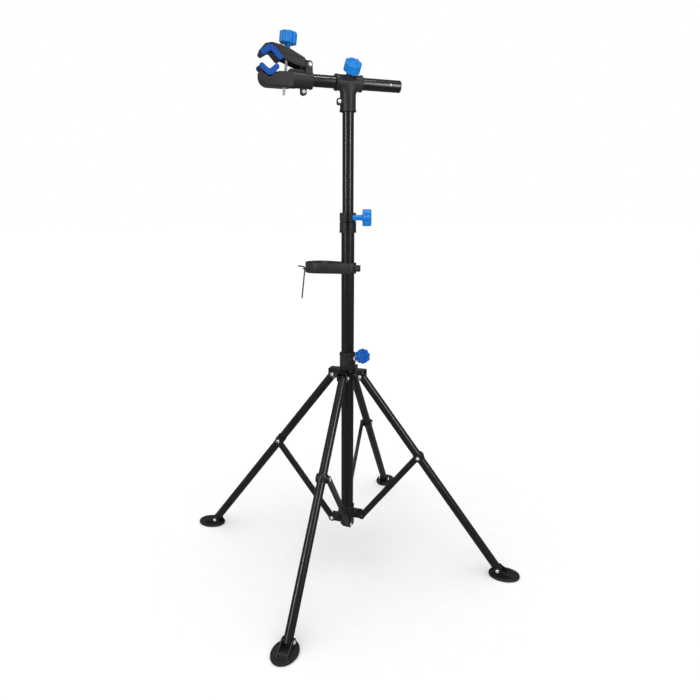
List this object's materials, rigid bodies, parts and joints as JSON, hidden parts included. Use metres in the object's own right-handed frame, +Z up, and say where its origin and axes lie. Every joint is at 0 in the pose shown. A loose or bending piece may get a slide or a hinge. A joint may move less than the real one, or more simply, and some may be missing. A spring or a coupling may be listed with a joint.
{
  "type": "folding work stand",
  "caption": "Folding work stand: telescopic black column on hinged splayed legs, with a tool tray and a tee head whose sliding arm carries a padded clamp.",
  "frame": {"origin": "on the floor, under the column, at the centre of the four feet", "axes": "+Z up along the column, the arm along X with the clamp towards -X, -Y towards the side the knobs face"},
  "size_m": [0.8818, 0.8818, 1.5262],
  "materials": {
    "black_tube": "gloss black powder coat",
    "black_bracket": "satin black paint",
    "charcoal_plastic": "moulded satin",
    "black_plastic": "moulded satin",
    "blue_knob": "moulded satin gloss",
    "dark_blue_knob": "moulded satin gloss",
    "blue_pad": "soft moulded",
    "zinc": "bright zinc plate",
    "brass_nut": "turned",
    "natural_plastic": "moulded",
    "black_oxide": "black oxide"
  },
  "bodies": {
    "column": {"column_tube": "black_tube", "column_plug": "black_plastic", "lower_hub": "black_bracket", "brace_pivot_bolts": "zinc", "mast_collar": "charcoal_plastic"},
    "collar_knob": {"collar_knob": "blue_knob", "collar_stud": "black_oxide"},
    "hub": {"hub_sleeve": "charcoal_plastic", "hub_spider": "black_bracket", "leg_pivot_bolts": "zinc"},
    "hub_knob": {"hub_knob": "dark_blue_knob", "hub_stud": "zinc"},
    "front_leg": {"front_leg_tube": "black_tube", "front_leg_bracket": "black_bracket", "front_joint_bolt": "zinc"},
    "front_brace": {"front_brace": "black_bracket"},
    "front_foot": {"front_foot": "black_plastic", "front_foot_bolt": "zinc"},
    "right_leg": {"right_leg_tube": "black_tube", "right_leg_bracket": "black_bracket", "right_joint_bolt": "zinc"},
    "right_brace": {"right_brace": "black_bracket"},
    "right_foot": {"right_foot": "black_plastic", "right_foot_bolt": "zinc"},
    "back_leg": {"back_leg_tube": "black_tube", "back_leg_bracket": "black_bracket", "back_joint_bolt": "zinc"},
    "back_brace": {"back_brace": "black_bracket"},
    "back_foot": {"back_foot": "black_plastic", "back_foot_bolt": "zinc"},
    "left_leg": {"left_leg_tube": "black_tube", "left_leg_bracket": "black_bracket", "left_joint_bolt": "zinc"},
    "left_brace": {"left_brace": "black_bracket"},
    "left_foot": {"left_foot": "black_plastic", "left_foot_bolt": "zinc"},
    "mast": {"mast_tube": "black_tube", "mast_glide": "natural_plastic"},
    "head": {"tee": "charcoal_plastic", "tee_pinch_bolt": "zinc"},
    "tee_knob": {"tee_knob": "blue_knob", "tee_stud": "zinc"},
    "arm": {"arm_tube": "black_tube", "arm_cap": "black_plastic", "arm_rivet": "zinc"},
    "clamp": {"lower_jaw": "charcoal_plastic", "lower_pad": "blue_pad", "socket_pinch_bolt": "zinc", "jaw_pivot_bolt": "zinc"},
    "upper_jaw": {"upper_jaw": "charcoal_plastic", "upper_pad": "blue_pad"},
    "jaw_nut": {"jaw_nut": "brass_nut"},
    "jaw_saddle": {"jaw_saddle": "zinc"},
    "jaw_knob": {"jaw_screw": "zinc", "jaw_knob": "blue_knob"},
    "tray": {"tray": "charcoal_plastic", "tray_screw": "black_oxide"},
    "hex_key": {"hex_key": "black_oxide"}
  },
  "joints": [
    {"name": "hub_slide", "type": "slide", "parent": "column", "child": "hub", "axis": [0, 0, 1], "range_m": [0, 0.1248]},
    {"name": "front_leg_hinge", "type": "hinge", "parent": "hub", "child": "front_leg", "pos_m": [-0.02666, -0.035, 0.58963], "axis": [0.7955, -0.606, 0], "range_deg": [0, 37.55]},
    {"name": "front_brace_hinge", "type": "hinge", "parent": "column", "child": "front_brace", "pos_m": [-0.02666, -0.035, 0.1105], "axis": [0.7955, -0.606, 0], "range_deg": [-37.55, 0]},
    {"name": "front_foot_hinge", "type": "hinge", "parent": "front_leg", "child": "front_foot", "pos_m": [-0.29153, -0.3827, 0.02], "axis": [0.7955, -0.606, 0], "range_deg": [-37.55, 0]},
    {"name": "right_leg_hinge", "type": "hinge", "parent": "hub", "child": "right_leg", "pos_m": [0.035, -0.02666, 0.58963], "axis": [0.606, 0.7955, 0], "range_deg": [0, 37.55]},
    {"name": "right_brace_hinge", "type": "hinge", "parent": "column", "child": "right_brace", "pos_m": [0.035, -0.02666, 0.1105], "axis": [0.606, 0.7955, 0], "range_deg": [-37.55, 0]},
    {"name": "right_foot_hinge", "type": "hinge", "parent": "right_leg", "child": "right_foot", "pos_m": [0.3827, -0.29153, 0.02], "axis": [0.606, 0.7955, 0], "range_deg": [-37.55, 0]},
    {"name": "back_leg_hinge", "type": "hinge", "parent": "hub", "child": "back_leg", "pos_m": [0.02666, 0.035, 0.58963], "axis": [-0.7955, 0.606, 0], "range_deg": [0, 37.55]},
    {"name": "back_brace_hinge", "type": "hinge", "parent": "column", "child": "back_brace", "pos_m": [0.02666, 0.035, 0.1105], "axis": [-0.7955, 0.606, 0], "range_deg": [-37.55, 0]},
    {"name": "back_foot_hinge", "type": "hinge", "parent": "back_leg", "child": "back_foot", "pos_m": [0.29153, 0.3827, 0.02], "axis": [-0.7955, 0.606, 0], "range_deg": [-37.55, 0]},
    {"name": "left_leg_hinge", "type": "hinge", "parent": "hub", "child": "left_leg", "pos_m": [-0.035, 0.02666, 0.58963], "axis": [-0.606, -0.7955, 0], "range_deg": [0, 37.55]},
    {"name": "left_brace_hinge", "type": "hinge", "parent": "column", "child": "left_brace", "pos_m": [-0.035, 0.02666, 0.1105], "axis": [-0.606, -0.7955, 0], "range_deg": [-37.55, 0]},
    {"name": "left_foot_hinge", "type": "hinge", "parent": "left_leg", "child": "left_foot", "pos_m": [-0.3827, 0.29153, 0.02], "axis": [-0.606, -0.7955, 0], "range_deg": [-37.55, 0]},
    {"name": "collar_knob_spin", "type": "hinge", "parent": "column", "child": "collar_knob", "pos_m": [-0.00915, -0.02583, 1.056], "axis": [0.9426, -0.3338, 0], "continuous": true},
    {"name": "hub_knob_spin", "type": "hinge", "parent": "hub", "child": "hub_knob", "pos_m": [0.00603, -0.01802, 0.63763], "axis": [0.2899, -0.8663, 0.4067], "continuous": true},
    {"name": "mast_slide", "type": "slide", "parent": "column", "child": "mast", "axis": [0, 0, 1], "range_m": [-0.264, 0.48]},
    {"name": "head_turn", "type": "hinge", "parent": "mast", "child": "head", "pos_m": [0, 0, 1.352], "axis": [0, 0, 1], "continuous": true},
    {"name": "tee_knob_spin", "type": "hinge", "parent": "head", "child": "tee_knob", "pos_m": [0, 0, 1.412], "axis": [0, -0.7071, 0.7071], "continuous": true},
    {"name": "arm_slide", "type": "slide", "parent": "head", "child": "arm", "axis": [1, 0, 0], "range_m": [-0.075, 0.065]},
    {"name": "clamp_turn", "type": "hinge", "parent": "arm", "child": "clamp", "pos_m": [-0.134, 0, 1.412], "axis": [1, 0, 0], "continuous": true},
    {"name": "jaw_pivot", "type": "hinge", "parent": "clamp", "child": "upper_jaw", "pos_m": [-0.112, 0, 1.447], "axis": [0, 1, 0], "range_deg": [-6, 30]},
    {"name": "screw_swing", "type": "hinge", "parent": "clamp", "child": "jaw_nut", "pos_m": [-0.176, 0, 1.408], "axis": [0, 1, 0], "range_deg": [-2.7, 12.68]},
    {"name": "screw_lift", "type": "slide", "parent": "jaw_nut", "child": "jaw_saddle", "axis": [0.108, 0, 0.9942], "range_m": [-0.00587, 0.02853]},
    {"name": "jaw_knob_spin", "type": "hinge", "parent": "jaw_saddle", "child": "jaw_knob", "pos_m": [-0.176, 0, 1.408], "axis": [0.108, 0, 0.9942], "continuous": true},
    {"name": "tray_turn", "type": "hinge", "parent": "column", "child": "tray", "pos_m": [0, 0, 0.912], "axis": [0, 0, 1], "continuous": true},
    {"name": "hex_key_lift", "type": "slide", "parent": "tray", "child": "hex_key", "axis": [0.094, -0.0775, 0.9925], "range_m": [0, 0.085]}
  ],
  "couplings": [
    {"joint": "front_leg_hinge", "follows": "hub_slide", "rad_per_m": 5.2444},
    {"joint": "front_brace_hinge", "follows": "hub_slide", "rad_per_m": -5.2444},
    {"joint": "front_foot_hinge", "follows": "hub_slide", "rad_per_m": -5.2444},
    {"joint": "right_leg_hinge", "follows": "hub_slide", "rad_per_m": 5.2444},
    {"joint": "right_brace_hinge", "follows": "hub_slide", "rad_per_m": -5.2444},
    {"joint": "right_foot_hinge", "follows": "hub_slide", "rad_per_m": -5.2444},
    {"joint": "back_leg_hinge", "follows": "hub_slide", "rad_per_m": 5.2444},
    {"joint": "back_brace_hinge", "follows": "hub_slide", "rad_per_m": -5.2444},
    {"joint": "back_foot_hinge", "follows": "hub_slide", "rad_per_m": -5.2444},
    {"joint": "left_leg_hinge", "follows": "hub_slide", "rad_per_m": 5.2444},
    {"joint": "left_brace_hinge", "follows": "hub_slide", "rad_per_m": -5.2444},
    {"joint": "left_foot_hinge", "follows": "hub_slide", "rad_per_m": -5.2444},
    {"joint": "screw_swing", "follows": "jaw_pivot", "ratio": 0.41608},
    {"joint": "screw_lift", "follows": "jaw_pivot", "m_per_rad": 0.05411}
  ]
}
